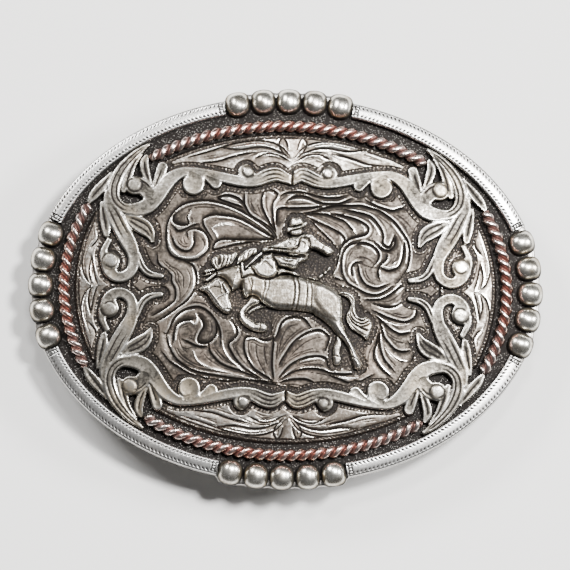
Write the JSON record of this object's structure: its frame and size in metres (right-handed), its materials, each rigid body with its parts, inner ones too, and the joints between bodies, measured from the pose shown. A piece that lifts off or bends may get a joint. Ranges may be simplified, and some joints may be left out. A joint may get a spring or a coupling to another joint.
{
  "type": "western belt buckle",
  "caption": "Domed oval western belt buckle with an engraved plate, scroll frame, rope edge, bead groups and a bronc rider, with a belt loop and a hook on its back.",
  "frame": {"origin": "under the middle of the buckle, at the level that it lies on, which is the lowest point of the loop's bar and of the hook's tip", "axes": "+X to the right and +Y to the top of the face as it is worn, +Z out of the face, which looks up"},
  "size_m": [0.0952, 0.0746, 0.0155],
  "materials": {
    "plate_silver": "satin silver, darkened with age, with fine scratches",
    "engraved_silver": "engraved silver, blackened in the cuts and in the stippled ground, bright on the raised parts",
    "bright_silver": "worn bright silver with dark cuts",
    "rope_copper": "worn silver with a copper tint, dark between its strands",
    "bead_silver": "worn silver with yellow and brown tarnish spots"
  },
  "bodies": {
    "root": {"back_plate": "plate_silver", "inner_plate": "engraved_silver", "bronc_rider": "bright_silver", "belt_loop": "plate_silver", "hook": "plate_silver", "edge_band_ne": "bright_silver", "edge_band_nw": "bright_silver", "edge_band_sw": "bright_silver", "edge_band_se": "bright_silver", "scroll_ne": "bright_silver", "scroll_nw": "bright_silver", "scroll_sw": "bright_silver", "scroll_se": "bright_silver", "rope_top": "rope_copper", "rope_right": "rope_copper", "rope_bottom": "rope_copper", "rope_left": "rope_copper", "bead_top_1": "bead_silver", "bead_top_2": "bead_silver", "bead_top_3": "bead_silver", "bead_top_4": "bead_silver", "bead_top_5": "bead_silver", "bead_right_1": "bead_silver", "bead_right_2": "bead_silver", "bead_right_3": "bead_silver", "bead_right_4": "bead_silver", "bead_right_5": "bead_silver", "bead_bottom_1": "bead_silver", "bead_bottom_2": "bead_silver", "bead_bottom_3": "bead_silver", "bead_bottom_4": "bead_silver", "bead_bottom_5": "bead_silver", "bead_left_1": "bead_silver", "bead_left_2": "bead_silver", "bead_left_3": "bead_silver", "bead_left_4": "bead_silver", "bead_left_5": "bead_silver"}
  },
  "joints": []
}
